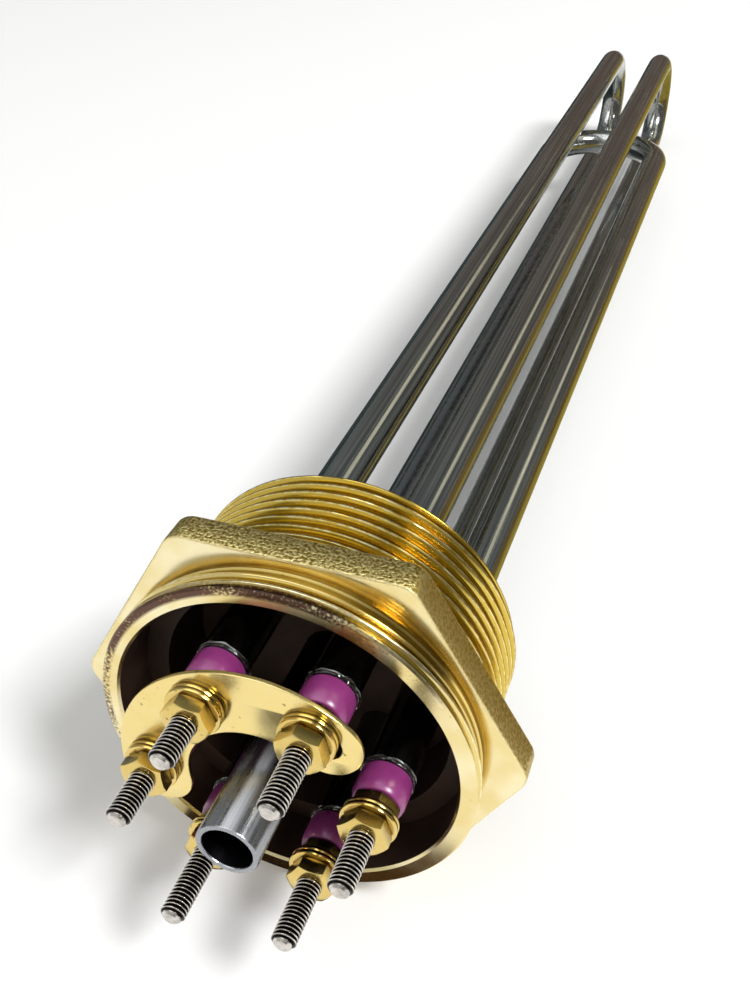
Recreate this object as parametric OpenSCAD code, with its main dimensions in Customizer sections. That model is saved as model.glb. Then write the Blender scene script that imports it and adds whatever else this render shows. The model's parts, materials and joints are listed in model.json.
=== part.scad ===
// Screw plug immersion heater: a threaded brass plug that carries three hairpin heating elements and a
// thermowell, with the element terminals in an open cup on its front.
// The heater lies along Y: the sealing face of the hexagon is at the origin, the elements reach
// towards +Y and the terminals face -Y. Each piece is drawn upright, terminals up, and laid down last.

/* [Tank thread] */
// Outside diameter of the thread that screws into the tank
tank_thread_d = 59.6; // [50:0.1:75]
// Pitch of the tank thread
tank_thread_pitch = 2.309; // [1.5:0.001:3]
// Length of the threaded end behind the hexagon
tank_thread_l = 22.6; // [18:0.1:40]
// Wall of the plug under the root of the tank thread
tank_wall = 3.8; // [2:0.1:6]
// Thickness of the floor that holds the element tubes
floor_t = 12; // [6:0.5:16]

/* [Hexagon] */
// How far each flat stands out past the larger thread
hex_lip = 1.5; // [0.5:0.1:8]
// Thickness of the hexagon
hex_h = 5.5; // [4:0.1:15]
// How far each corner is rounded back from its sharp point
hex_corner_cut = 0.6; // [0.2:0.1:1.5]

/* [Collar] */
// Outside diameter of the thread that takes the terminal cover
collar_thread_d = 63; // [55:0.1:70]
// Pitch of the collar thread
collar_thread_pitch = 1.9; // [1:0.05:2.5]
// Length of the collar in front of the hexagon
collar_h = 6; // [5:0.1:15]
// Wall of the collar under the root of its thread
collar_wall = 1.9; // [1.2:0.1:4]
// Height above the sealing face at which the cup narrows
shoulder_h = 2; // [1:0.1:3.5]
// Chamfer on the rim of the cup
rim_chamfer = 0.4; // [0.1:0.1:1]

/* [Elements] */
// Diameter of the circle that the tube legs stand on
leg_circle_d = 35; // [32:0.5:38]
// Outside diameter of an element tube
tube_d = 8; // [6:0.1:9]
// Wall of an element tube
tube_wall = 0.8; // [0.5:0.1:1.2]
// Reach of the two long hairpins behind the sealing face
long_reach = 347; // [200:1:600]
// How much shorter the crossing hairpin is
cross_step = 59; // [20:1:90]
// How far the tube mouths stand out past the collar
mouth_rise = 0.5; // [0:0.1:4]
// Diameter of the coiled resistance wire
coil_d = 3.4; // [2.8:0.1:3.8]
// Unheated length behind the sealing face
cold_l = 50; // [30:1:90]

/* [Thermowell] */
// Outside diameter of the thermowell
well_d = 10; // [8:0.1:12]
// Wall of the thermowell
well_wall = 1; // [0.5:0.1:1.5]
// How far the thermowell stands out past the collar
well_rise = 20.2; // [10:0.1:40]
// Space between the thermowell's closed end and the bend that crosses behind it
well_clear = 65; // [20:1:120]

/* [Terminals] */
// Diameter of the threaded terminal studs
stud_d = 4; // [3:0.1:5]
// Pitch of the stud thread
stud_pitch = 0.7; // [0.5:0.05:0.8]
// Height of each stud above its bush, counted anticlockwise from the right
stud_rise = [15.8, 17.5, 14.6, 15.2, 18.5, 17.2]; // [13:0.1:25]
// Chamfer on the tip of a stud
stud_chamfer = 0.5; // [0.1:0.1:0.8]
// Diameter of the pin inside the element
pin_d = 2.5; // [2:0.1:2.8]
// Outside diameter of an insulating bush
bush_d = 8.4; // [7:0.1:9.5]
// Height of a bush outside the tube
bush_h = 5.2; // [3:0.1:10]
// Length of the bush inside the tube
spigot_l = 5; // [3:0.1:10]
// How far the stud's thread runs down into the bush
stud_root = 3; // [1:0.1:5]
// Height of the resin bead around a tube mouth
bead_h = 0.9; // [0.4:0.1:2]
// Thickness of the resin bead
bead_w = 0.4; // [0.2:0.1:0.8]

/* [Fasteners] */
// Width of the nuts across flats
nut_flats = 7; // [6:0.1:9]
// Height of the base nuts
base_nut_h = 2.2; // [1.5:0.1:4]
// Height of the terminal nuts
terminal_nut_h = 2.6; // [2:0.1:4]
// Turn of each nut, counted as the studs are
nut_turn = [-14, -18, -10, -22, 8, -4]; // [-30:1:30]
// Outside diameter of the washers
washer_d = 9; // [8:0.1:11]
// Thickness of a washer
washer_t = 0.8; // [0.4:0.1:1.5]
// Width of the link plate
plate_w = 11.5; // [10:0.1:13]
// Thickness of the link plate
plate_t = 0.8; // [0.5:0.1:2]
// Width of the holes in the link plate
plate_hole_w = 5.2; // [4.8:0.1:6]
// How far the plate's end slots run on past their studs
slot_run = 2.7; // [0.5:0.1:4]

/* [Hidden] */
$fn = 96;
// Plain land at the start of each thread
thread_land = 0.5;
// Gap between pieces that are pushed or packed together
fill_gap = 0.02;
// Gap around a tube where it passes the floor
braze_gap = 0.05;
// Gap between a stud and the nuts and washers on it
nut_gap = 0.05;
washer_gap = 0.15;
// Straight steps in an arc of the link plate's outline
arc_steps = 24;
// Overshoot of a cut past the surface that it opens
cut = 1;

// Depth and flank angle of the pipe thread, and of the metric thread on the collar
tank_depth = 0.6403 * tank_thread_pitch;
tank_flank = 27.5;
collar_depth = 0.6134 * collar_thread_pitch;
collar_flank = 30;

// Diameter midway down the stud thread, where a nut takes hold of it
stud_mean_d = stud_d - 0.65 * stud_pitch;

// Heights above the sealing face
collar_top = hex_h + collar_h;
mouth_z = collar_top + mouth_rise;
bush_top = mouth_z + bush_h;
base_nut_top = bush_top + base_nut_h;
floor_z = floor_t - tank_thread_l;
stud_foot = bush_top - stud_root;
fill_top = mouth_z - spigot_l - fill_gap;

hex_flats = max(tank_thread_d, collar_thread_d) + 2 * hex_lip;
cup_r = collar_thread_d / 2 - collar_depth - collar_wall;
inner_r = min(cup_r - rim_chamfer, tank_thread_d / 2 - tank_depth - tank_wall);
bore_d = tube_d - 2 * tube_wall;
leg_r = leg_circle_d / 2;
leg_step = 60;
legs = [0 : 5];
elements = ["left", "right", "cross"];
linked = [1, 2, 3];
cross_reach = long_reach - cross_step;
well_reach = cross_reach - tube_d - well_clear;
slot_turn = slot_run / leg_r * 180 / PI;

// True for a leg whose stud carries the link plate
function is_linked(leg) = len(search(leg, linked)) > 0;

// Height of the seat under the washers of a leg
function washer_seat(leg) = base_nut_top + (is_linked(leg) ? plate_t : 0);

// Height of the seat under the terminal nut of a leg
function nut_seat(leg) = washer_seat(leg) + 2 * washer_t;

// Lays an upright piece down along Y, terminals towards -Y
module laid() rotate([90, 0, 0]) children();

// Puts a piece on one leg's axis
module on_leg(leg) rotate(leg * leg_step) translate([leg_r, 0, 0]) rotate(-leg * leg_step) children();

// Half outline of one thread, going up from 0: a plain land, then rings with flat crests
function thread_outline(r, pitch, depth, flank, length) =
    let (
        slope = depth * tan(flank),
        crest = (pitch - 2 * slope) / 2,
        start = thread_land + slope,
        count = floor((length - start) / pitch)
    )
    concat(
        [[0, 0], [r, 0], [r, thread_land], [r - depth, start]],
        [for (turn = [0 : count - 1], point = [
            [r - depth, crest], [r, crest + slope], [r, 2 * crest + slope], [r - depth, pitch]
        ]) [point[0], start + turn * pitch + point[1]]],
        [[r - depth, length], [0, length]]
    );

// A solid thread that runs down from 0
module thread(r, pitch, depth, flank, length) {
    mirror([0, 0, 1])
        rotate_extrude() polygon(thread_outline(r, pitch, depth, flank, length));
}

module tank_thread() {
    thread(tank_thread_d / 2, tank_thread_pitch, tank_depth, tank_flank, tank_thread_l);
}

module collar() {
    translate([0, 0, collar_top])
        thread(collar_thread_d / 2, collar_thread_pitch, collar_depth, collar_flank, collar_h);
}

module hexagon() {
    corner_r = hex_flats / 2 / cos(30);
    intersection() {
        cylinder(r = corner_r, h = hex_h, $fn = 6);
        cylinder(r = corner_r - hex_corner_cut, h = hex_h);
    }
}

// The cup: a wide mouth through collar and hexagon, then a narrower well down to the floor
module cup() {
    translate([0, 0, shoulder_h]) cylinder(r = cup_r, h = collar_top - shoulder_h + cut);
    translate([0, 0, floor_z]) cylinder(r = inner_r, h = collar_top - floor_z + cut);
    translate([0, 0, collar_top - rim_chamfer])
        cylinder(r1 = cup_r, r2 = cup_r + rim_chamfer + cut, h = rim_chamfer + cut);
}

module plug_body() {
    color("goldenrod")
        laid()
            difference() {
                union() {
                    tank_thread();
                    hexagon();
                    collar();
                }
                cup();
                translate([0, 0, -tank_thread_l - cut]) {
                    full = tank_thread_l + collar_top + 2 * cut;
                    for (leg = legs) on_leg(leg) cylinder(d = tube_d + 2 * braze_gap, h = full);
                    cylinder(d = well_d + 2 * braze_gap, h = full);
                }
            }
}

// A solid hairpin in the XZ plane: two legs down from a height, joined by a half ring at the reach
module hairpin(d, half, reach, top) {
    bend_z = half + tube_d / 2 - reach;
    for (side = [-1, 1])
        translate([side * half, 0, bend_z]) cylinder(d = d, h = top - bend_z);
    translate([0, 0, bend_z])
        rotate([-90, 0, 0])
            rotate_extrude(angle = 180)
                translate([half, 0]) circle(d = d);
}

// One element's solid hairpin: the long ones stand upright on either side of the axis, and the shorter
// one lies across, between their legs
module element(name, d, top) {
    side = name == "left" ? -1 : 1;
    if (name == "cross")
        hairpin(d, leg_r, cross_reach, top);
    else
        translate([side * leg_r * cos(leg_step), 0, 0])
            rotate(90) hairpin(d, leg_r * sin(leg_step), long_reach, top);
}

module sheath(name) {
    color("slategray")
        laid()
            difference() {
                element(name, tube_d, mouth_z);
                element(name, bore_d, mouth_z + cut);
            }
}

module magnesia(name) {
    color("ivory")
        laid()
            difference() {
                element(name, bore_d - 2 * fill_gap, fill_top);
                element(name, coil_d + 2 * fill_gap, fill_gap - cold_l);
                for (leg = legs)
                    on_leg(leg)
                        translate([0, 0, -cold_l])
                            cylinder(d = pin_d + 2 * fill_gap, h = fill_top + cold_l + cut);
            }
}

module coil(name) {
    color("dimgray") laid() element(name, coil_d, -cold_l);
}

module thermowell() {
    end_z = well_d / 2 - well_reach;
    top = collar_top + well_rise;
    color("silver")
        laid()
            difference() {
                union() {
                    translate([0, 0, end_z]) cylinder(d = well_d, h = top - end_z);
                    translate([0, 0, end_z]) sphere(d = well_d);
                }
                translate([0, 0, end_z]) cylinder(d = well_d - 2 * well_wall, h = top - end_z + cut);
                translate([0, 0, end_z]) sphere(d = well_d - 2 * well_wall);
            }
}

// A plain pin inside the element and a stud outside it, turned from one bar. The stud has the mean
// diameter of its thread as far as the nuts hold it, and its full diameter in front of them
module terminal_pin(leg) {
    tip = bush_top + stud_rise[leg];
    free = nut_seat(leg) + terminal_nut_h;
    color("dimgray")
        laid()
            on_leg(leg) {
                translate([0, 0, -cold_l]) cylinder(d = pin_d, h = stud_foot + cold_l);
                translate([0, 0, stud_foot]) cylinder(d = stud_mean_d, h = free - stud_foot);
                translate([0, 0, free]) cylinder(d = stud_d, h = tip - stud_chamfer - free);
                translate([0, 0, tip - stud_chamfer])
                    cylinder(d1 = stud_d, d2 = stud_d - 2 * stud_chamfer, h = stud_chamfer);
            }
}

module bush(leg) {
    color("mediumvioletred")
        laid()
            on_leg(leg)
                difference() {
                    union() {
                        translate([0, 0, mouth_z]) cylinder(d = bush_d, h = bush_h);
                        translate([0, 0, mouth_z - spigot_l])
                            cylinder(d = bore_d - 2 * fill_gap, h = spigot_l);
                    }
                    translate([0, 0, mouth_z - spigot_l - cut])
                        cylinder(d = pin_d + 2 * fill_gap, h = spigot_l + bush_h + 2 * cut);
                    translate([0, 0, stud_foot - fill_gap])
                        cylinder(d = stud_mean_d + 2 * fill_gap, h = stud_root + fill_gap + cut);
                }
}

// A flat ring around a stud or a tube
module ring(outer_d, inner_d, h) {
    difference() {
        cylinder(d = outer_d, h = h);
        translate([0, 0, -cut]) cylinder(d = inner_d, h = h + 2 * cut);
    }
}

module seal_beads() {
    inner_d = tube_d + 2 * fill_gap;
    color("whitesmoke")
        laid()
            for (leg = legs)
                on_leg(leg)
                    translate([0, 0, mouth_z - bead_h]) ring(inner_d + 2 * bead_w, inner_d, bead_h);
}

// A hexagon nut with the corners of both faces turned off at 30 degrees
module nut(h) {
    corner_d = nut_flats / cos(30);
    turned = (corner_d - nut_flats) / 2 * tan(30);
    difference() {
        intersection() {
            cylinder(d = corner_d, h = h, $fn = 6);
            union() {
                cylinder(d1 = nut_flats, d2 = corner_d, h = turned);
                translate([0, 0, turned]) cylinder(d = corner_d, h = h - 2 * turned);
                translate([0, 0, h - turned]) cylinder(d1 = corner_d, d2 = nut_flats, h = turned);
            }
        }
        translate([0, 0, -cut]) cylinder(d = stud_mean_d + 2 * nut_gap, h = h + 2 * cut);
    }
}

module base_nuts() {
    color("gold")
        laid()
            for (leg = legs)
                on_leg(leg)
                    translate([0, 0, bush_top]) rotate(-nut_turn[leg]) nut(base_nut_h);
}

module terminal_nuts() {
    color("gold")
        laid()
            for (leg = legs)
                on_leg(leg)
                    translate([0, 0, nut_seat(leg)]) rotate(nut_turn[leg]) nut(terminal_nut_h);
}

module washers(level) {
    for (leg = legs)
        on_leg(leg)
            translate([0, 0, washer_seat(leg) + level * washer_t])
                ring(washer_d, stud_d + 2 * washer_gap, washer_t);
}

module inner_washers() {
    color("khaki") laid() washers(0);
}

module outer_washers() {
    color("khaki") laid() washers(1);
}

// Points of an arc about a centre
function arc(centre, r, from, to) =
    [for (step = [0 : arc_steps]) let (turn = from + (to - from) * step / arc_steps)
        centre + r * [cos(turn), sin(turn)]];

// Outline of a band along the leg circle between two angles, with half-round ends
function band(width, from, to) = concat(
    arc([0, 0], leg_r + width / 2, from, to),
    arc(leg_r * [cos(to), sin(to)], width / 2, to, to + 180),
    arc([0, 0], leg_r - width / 2, to, from),
    arc(leg_r * [cos(from), sin(from)], width / 2, from + 180, from + 360)
);

// The plate follows the leg circle; its middle hole is round and its end holes are slots
module link_plate() {
    first = linked[0] * leg_step;
    last = linked[2] * leg_step;
    color("gold")
        laid()
            translate([0, 0, base_nut_top])
                linear_extrude(plate_t)
                    difference() {
                        polygon(band(plate_w, first - slot_turn, last + slot_turn));
                        polygon(band(plate_hole_w, first - slot_turn, first));
                        polygon(band(plate_hole_w, last, last + slot_turn));
                        on_leg(linked[1]) circle(d = plate_hole_w);
                    }
}

plug_body();
for (name = elements) {
    sheath(name);
    magnesia(name);
    coil(name);
}
thermowell();
for (leg = legs) {
    terminal_pin(leg);
    bush(leg);
}
seal_beads();
base_nuts();
link_plate();
inner_washers();
outer_washers();
terminal_nuts();
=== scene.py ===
# %% [markdown]
# # A screw plug immersion heater
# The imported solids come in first, as a frame that stays where it is. Every size below is read from that
# frame where it can be, and the few that it doesn't hold are named in millimetres. Each piece is drawn
# in millimetres too, and becomes metres when it turns into a mesh, so the numbers stay easy to read.

# %% Load the frame
import json
import math

import bmesh
import bpy
from mathutils import Matrix, Vector


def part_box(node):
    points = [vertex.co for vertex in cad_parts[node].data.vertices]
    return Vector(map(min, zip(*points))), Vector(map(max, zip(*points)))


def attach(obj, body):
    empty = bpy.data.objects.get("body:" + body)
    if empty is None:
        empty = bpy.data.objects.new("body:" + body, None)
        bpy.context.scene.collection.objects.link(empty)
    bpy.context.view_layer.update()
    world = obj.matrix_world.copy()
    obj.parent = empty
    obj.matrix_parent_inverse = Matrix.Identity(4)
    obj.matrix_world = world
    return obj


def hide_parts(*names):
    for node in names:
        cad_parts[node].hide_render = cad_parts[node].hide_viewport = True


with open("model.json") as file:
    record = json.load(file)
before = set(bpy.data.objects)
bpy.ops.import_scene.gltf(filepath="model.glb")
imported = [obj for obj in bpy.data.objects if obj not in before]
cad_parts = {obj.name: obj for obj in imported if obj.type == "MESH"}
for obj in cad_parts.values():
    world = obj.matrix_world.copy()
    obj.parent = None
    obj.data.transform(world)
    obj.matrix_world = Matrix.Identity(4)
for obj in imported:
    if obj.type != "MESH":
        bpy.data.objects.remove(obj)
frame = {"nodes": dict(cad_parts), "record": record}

MM = 0.001
TERMINALS = range(1, 7)
ELEMENTS = ("left", "right", "cross")
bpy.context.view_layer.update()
mounts = {mount["name"]: mount["dims"] for mount in frame["record"]["mounts"]}


def box_mm(solid):
    """Lowest and highest corner of a solid, in millimetres."""
    return tuple(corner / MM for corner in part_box(solid))


PLUG_LOW, PLUG_HIGH = box_mm("plug_body")
LEGS = [sum(box_mm(f"bush_{number}"), Vector()) / 2 for number in TERMINALS]
LEG_R = mounts["terminal_studs"]["pcd_mm"] / 2
print("solids", len(frame["nodes"]), "plug", [round(x, 2) for x in PLUG_HIGH - PLUG_LOW], "mm")

# %% [markdown]
# ## Turning round pieces
# Round pieces are turned, as on a lathe: a profile of radius and height spins about a line along Y. A
# radius may also be a function of the angle, and so the same lathe makes a hexagon. Blender's own Screw
# modifier can turn a profile too, but it needs an object for each one and can't turn a hexagon. Here,
# neighbouring rings share their points, so every piece comes out as one closed skin.

# %% Lathe
def lathe(shape, profile, centre=(0, 0), steps=64, loop=False, caps=True, coat=0):
    """Turns (radius, y) points about a line along Y; a looped profile makes a ring."""
    rings = []
    for radius, y in profile:
        turns = [math.tau * step / steps for step in range(steps if radius else 1)]
        reach = [radius(turn) if callable(radius) else radius for turn in turns]
        rings.append([
            shape.verts.new((centre[0] + r * math.cos(turn), y, centre[1] + r * math.sin(turn)))
            for r, turn in zip(reach, turns)
        ])
    for near, far in zip(rings, rings[1:] + rings[:1] if loop else rings[1:]):
        for step in range(steps):
            after = (step + 1) % steps
            corners = [near[step % len(near)], near[after % len(near)],
                       far[after % len(far)], far[step % len(far)]]
            shape.faces.new(list(dict.fromkeys(corners))).material_index = coat
    for ring in (rings[0], rings[-1]):
        if caps and not loop and len(ring) > 1:
            shape.faces.new(ring).material_index = coat
    return shape


def skin(shape, strips):
    """Fills the strip between the two rings of each pair."""
    for near, far in strips:
        for step in range(len(near)):
            after = (step + 1) % len(near)
            shape.faces.new((near[step], near[after], far[after], far[step]))


print("made a lathe for round pieces and a skin for rings along a path")

# %% [markdown]
# ## From drawing to piece
# A drawing becomes a mesh in metres, and a mesh becomes a piece that rides on the heater and stands for
# its solid. Shading is smooth up to a set angle and sharp past it, so that turned edges stay crisp.

# %% Mesh helpers
SHARP = math.radians(32)
SAME_POINT = 0.001


def smooth(mesh):
    """Shades a mesh smooth but for its true edges."""
    mesh.shade_smooth()
    mesh.set_sharp_from_angle(angle=SHARP)
    return mesh


def to_mesh(shape, name, *materials):
    """Closes a drawing in millimetres into a mesh in metres."""
    bmesh.ops.recalc_face_normals(shape, faces=shape.faces)
    bmesh.ops.transform(shape, matrix=Matrix.Scale(MM, 4), verts=shape.verts)
    mesh = bpy.data.meshes.new(name)
    shape.to_mesh(mesh)
    shape.free()
    for material in materials:
        mesh.materials.append(material)
    return smooth(mesh)


def together(*meshes):
    """Draws finished meshes as one, back in millimetres."""
    shape = bmesh.new()
    for mesh in meshes:
        shape.from_mesh(mesh)
    bmesh.ops.transform(shape, matrix=Matrix.Scale(1 / MM, 4), verts=shape.verts)
    return shape


def host(name, data):
    """Puts a mesh, curve, lamp or camera in the scene."""
    made = bpy.data.objects.new(name, data)
    bpy.context.scene.collection.objects.link(made)
    return made


def taken(holder):
    """Turns an object and its modifiers into a plain mesh, and removes the object."""
    made = bpy.data.meshes.new_from_object(holder.evaluated_get(bpy.context.evaluated_depsgraph_get()))
    bpy.data.objects.remove(holder)
    return made


def piece(name, mesh, slot, *nodes):
    """Adds a finished mesh as a piece of the heater that stands for these solids."""
    made = host(name, mesh)
    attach(made, "root")
    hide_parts(*nodes)
    print(f"{name}: {len(mesh.polygons)} faces for {', '.join(nodes)}")


# %% [markdown]
# ## A helper for node trees
# Materials and Geometry Nodes are both trees of nodes. One function adds a node of any kind, sets its
# options and then its inputs. An input is a plain value, a socket of an earlier node, or the node itself,
# which then gives its first output that is in use. The four kinds used most get short names. Most finishes
# end in the same way, so one more function lays their colours over each other and sets gloss and ripple.

# %% Node helper
NOISE, RANGE, MIX, MATH = "ShaderNodeTexNoise", "ShaderNodeMapRange", "ShaderNodeMix", "ShaderNodeMath"


def feed(made, inputs):
    """Sets a node's inputs, by name or number, to plain values or to what earlier nodes give."""
    for name, source in inputs.items():
        named = [socket for socket in made.inputs if socket.enabled and socket.name == name]
        socket = named[0] if named else made.inputs[name]
        if isinstance(source, bpy.types.Node):
            source = next(output for output in source.outputs if output.enabled)
        if isinstance(source, bpy.types.NodeSocket):
            made.id_data.links.new(source, socket)
        else:
            socket.default_value = source


def node(tree, kind, inputs=None, **options):
    """Adds one node to a tree, with its options and its inputs."""
    made = tree.nodes.new(kind)
    for option, value in options.items():
        setattr(made, option, value)
    feed(made, inputs or {})
    return made


def colour(code):
    """Turns an sRGB hex colour into the linear values that the shader reads."""
    shares = [int(code[start:start + 2], 16) / 255 for start in (1, 3, 5)]
    linear = [c / 12.92 if c <= 0.04045 else ((c + 0.055) / 1.055) ** 2.4 for c in shares]
    return (*linear, 1)


def per_mm(size):
    """Texture scale that gives a pattern this size in millimetres."""
    return 1 / (size * MM)


def finish(name, **inputs):
    """Starts a material and sets what is the same all over it on the shader itself."""
    material = bpy.data.materials.new(name)
    material.use_nodes = True
    shader = material.node_tree.nodes["Principled BSDF"]
    feed(shader, {socket.replace("_", " "): value for socket, value in inputs.items()})
    place = node(material.node_tree, "ShaderNodeTexCoord").outputs["Object"]
    return material, material.node_tree, shader, place


def dress(shader, base=None, layers=(), gloss=None, ripple=None):
    """Lays colours over a base, each by its mask, and gives the shader its gloss and its ripple.

    Gloss is a value, its range and the roughness at both ends; ripple is a height, its strength and depth.
    """
    tree = shader.id_data
    if base:
        tone = colour(base)
        for mask, over in layers:
            over = colour(over) if isinstance(over, str) else over
            tone = node(tree, MIX, {"Factor": mask, "A": tone, "B": over}, data_type="RGBA")
        feed(shader, {"Base Color": tone})
    if gloss:
        value, start, stop, low, high = gloss
        feed(shader, {"Roughness": node(tree, RANGE, {
            "Value": value, "From Min": start, "From Max": stop, "To Min": low, "To Max": high})})
    if ripple:
        height, strength, depth = ripple
        feed(shader, {"Normal": node(tree, "ShaderNodeBump", {
            "Height": height, "Strength": strength, "Distance": depth * MM})})


print("mid grey reads as", round(colour("#808080")[0], 3))

# %% [markdown]
# ## Turned brass
# The plug is cast in brass and then turned and threaded. Bright brass has a pale yellow face where it
# reflects something light, and a deep amber one where it reflects something dark, so its colour comes
# mostly from what stands around it. By the rim, the collar's first crest has gone purple brown, and the
# rim has brown specks. Both are thickest on one side, so a mask is worked out first from where a point
# is and from noise that makes its border ragged.

# %% Tarnish mask
BROWN_SIDE, SPECK_SIDE = Vector((-0.62, 0, 0.78)), Vector((0.5, 0, 0.87))
BROWN_BACK, BROWN_DEPTH, SPECK_BACK = (2.0, 1.0), (-3.1, -2.6), (0.4, 0.2)
BROWN_COVER, SPECK_COVER, RAGGED = 0.53, 0.8, 0.14
SIDE_FROM, SIDE_TO, SIDE_PULL = -10, 32, 0.25


def tarnish_mask(tree, place, cloud, speck):
    """Brown on the first crest, most of all on the upper left, and specks on the rim's upper right."""
    split = node(tree, "ShaderNodeSeparateXYZ", {0: place}).outputs
    across = node(tree, "ShaderNodeCombineXYZ", {"X": split["X"], "Z": split["Z"]})
    reach = node(tree, "ShaderNodeVectorMath", {0: across}, operation="LENGTH")
    behind, outer, rim_face = (
        node(tree, RANGE, {"Value": value, "From Min": (edge + start) * MM, "From Max": (edge + stop) * MM,
                           "To Max": most})
        for value, edge, (start, stop), most in ((split["Y"], PLUG_LOW.y, BROWN_BACK, 1.0),
                                                 (reach, PLUG_HIGH.z, BROWN_DEPTH, 0.95),
                                                 (split["Y"], PLUG_LOW.y, SPECK_BACK, 0.55)))
    first_crest = node(tree, MATH, {0: behind, 1: outer}, operation="MULTIPLY")
    ragged = node(tree, MIX, {"Factor": 0.55, "A": cloud, "B": speck}, data_type="FLOAT")
    stains = []
    for zone, side, cover, noise in ((first_crest, BROWN_SIDE, BROWN_COVER, ragged),
                                     (rim_face, SPECK_SIDE, SPECK_COVER, speck)):
        lean = node(tree, "ShaderNodeVectorMath", {0: across, 1: side}, operation="DOT_PRODUCT")
        pull = node(tree, RANGE, {
            "Value": lean, "From Min": SIDE_FROM * MM, "From Max": SIDE_TO * MM,
            "To Min": -SIDE_PULL, "To Max": SIDE_PULL})
        amount = node(tree, MATH, {0: pull, 1: noise}, operation="ADD")
        patch = node(tree, RANGE, {"Value": amount, "From Min": cover, "From Max": cover + RAGGED})
        stains.append(node(tree, MATH, {0: zone, 1: patch}, operation="MULTIPLY"))
    return node(tree, MATH, dict(enumerate(stains)), operation="MAXIMUM")


print("tarnish from", BROWN_BACK[0], "mm behind the rim")

# %% [markdown]
# The brass itself reads a number that each point carries, which says how high it stands on its thread:
# the roots are painted darker, painted shade with some grime, and the crests paler, a painted highlight
# with some wear. There are three kinds of it: the plain faces, the tank thread with its darker roots, and
# the collar's thread, painted paler as painted light.

# %% Turned brass
def brass_turned(name, patch_size, root, flank, crest_dark, crest_light):
    """Turned brass: crests painted pale with glints, roots painted dark as shade and grime, a tarnished
    first crest.
    """
    material, tree, shader, place = finish(name, Metallic=1.0)
    crest = node(tree, "ShaderNodeAttribute", attribute_name="crest").outputs["Fac"]
    cloud, speck, patch = (
        node(tree, NOISE, {"Vector": place, "Scale": per_mm(size), "Detail": detail})
        for size, detail in ((9, 5.0), (0.5, 3.0), (patch_size, 2.0)))
    # On the threads glint breaks the pale crest colour into painted glints; on the plain faces it only
    # mottles the tone.
    glint, low, high = (
        node(tree, RANGE, {"Value": value, "From Min": start, "From Max": stop})
        for value, start, stop in ((patch, 0.38, 0.62), (crest, 0.04, 0.4), (crest, 0.84, 0.99)))
    bright = node(tree, MIX, {"Factor": glint, "A": colour(crest_dark), "B": colour(crest_light)},
                  data_type="RGBA")
    pit = node(tree, RANGE, {"Value": speck, "From Min": 0.68, "From Max": 0.74, "To Max": 0.6})
    tarnish = tarnish_mask(tree, place, cloud, speck)
    # The root colour is painted shade with some grime, and the crest colour a painted highlight with some
    # wear.
    dress(shader, root, ((low, flank), (high, bright), (pit, "#6E5218"), (tarnish, "#50312F")),
          (cloud, 0.3, 0.7, 0.14, 0.26), (patch, 0.2, 0.01 * patch_size))
    return material


BRASS_FACE = brass_turned("brass_turned", 9, "#B79A48", "#DEC472", "#E9D596", "#F5E8BC")
BRASS_THREAD = brass_turned("brass_threaded", 1.2, "#6A5720", "#D6B955", "#E0C260", "#FFF0B6")
# The collar's paler tones are painted light, for the brighter light that its thread catches.
BRASS_COLLAR = brass_turned("brass_threaded_collar_painted_light", 1.2, "#9C843E", "#E4CE86", "#EAD690", "#FFF6D4")
print("made", BRASS_FACE.name, BRASS_THREAD.name, "and", BRASS_COLLAR.name)

# %% [markdown]
# ## Cast brass
# The six flats of the hexagon keep the skin of the sand mould: grains about half a millimetre wide that
# scatter the light, so they look olive and matt beside the turned faces. The peaks of the grain are painted
# pale as painted glints, and its hollows stay darker. The top flat is coarser, and it is also painted a
# darker olive as painted shade; the other five are finer, so the height of a point chooses between the two.

# %% Cast brass
GRAIN = 0.55
TOP_FROM, TOP_FULL = 0.8, 0.4


def brass_cast():
    """Sand-cast brass: matt olive grain with painted glints, a top flat painted darker as shade, edges
    painted pale.
    """
    material, tree, shader, place = finish("brass_sand_cast", Metallic=1.0)
    # worn marks the hexagon's edges, which are painted pale as a highlight.
    worn = node(tree, "ShaderNodeAttribute", attribute_name="crest").outputs["Fac"]
    grain = node(tree, NOISE, {"Vector": place, "Scale": per_mm(GRAIN), "Detail": 3.0, "Roughness": 0.55})
    # hollow is high on the grain's peaks, which are painted pale as glints.
    hollow = node(tree, RANGE, {"Value": grain, "From Min": 0.4, "From Max": 0.64})
    # coarse picks the top flat, for a coarser grain and a darker colour that is painted shade.
    coarse = node(tree, RANGE, {
        "Value": node(tree, "ShaderNodeSeparateXYZ", {0: place}).outputs["Z"],
        "From Min": (PLUG_HIGH.z - TOP_FROM) * MM, "From Max": (PLUG_HIGH.z - TOP_FULL) * MM})
    depth = node(tree, RANGE, {"Value": coarse, "To Min": 0.4})
    dress(shader, "#A88C42", ((coarse, "#76601F"), (hollow, "#F3E29C"), (worn, "#F4E4AC")),
          (hollow, 0, 1, 0.56, 0.3), (grain, depth, 0.3))
    return material


BRASS_CAST = brass_cast()
print("made", BRASS_CAST.name)

# %% [markdown]
# ## The inside of the cup
# Deep in the cup the brass is painted near black, a painted shade for the shadow that fills the cup, so it
# gives back very little light. A brown mottle breaks the black up. Several finishes here need no more than
# one noise that moves their colour, their gloss and their surface together, so one function makes them all.

# %% Brass painted dark inside the cup
def mottled(name, size, detail, tones=None, gloss=None, ripple=None, **inputs):
    """A finish on one noise of a size: two tones, two roughnesses, and a ripple's strength and depth."""
    material, tree, shader, place = finish(name, **inputs)
    noise = node(tree, NOISE, {"Vector": place, "Scale": per_mm(size), "Detail": detail})
    dark, light = tones or (None, None)
    dress(shader, dark, [(noise, light)], gloss and (noise, 0, 1, *gloss), ripple and (noise, *ripple))
    return material


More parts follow.
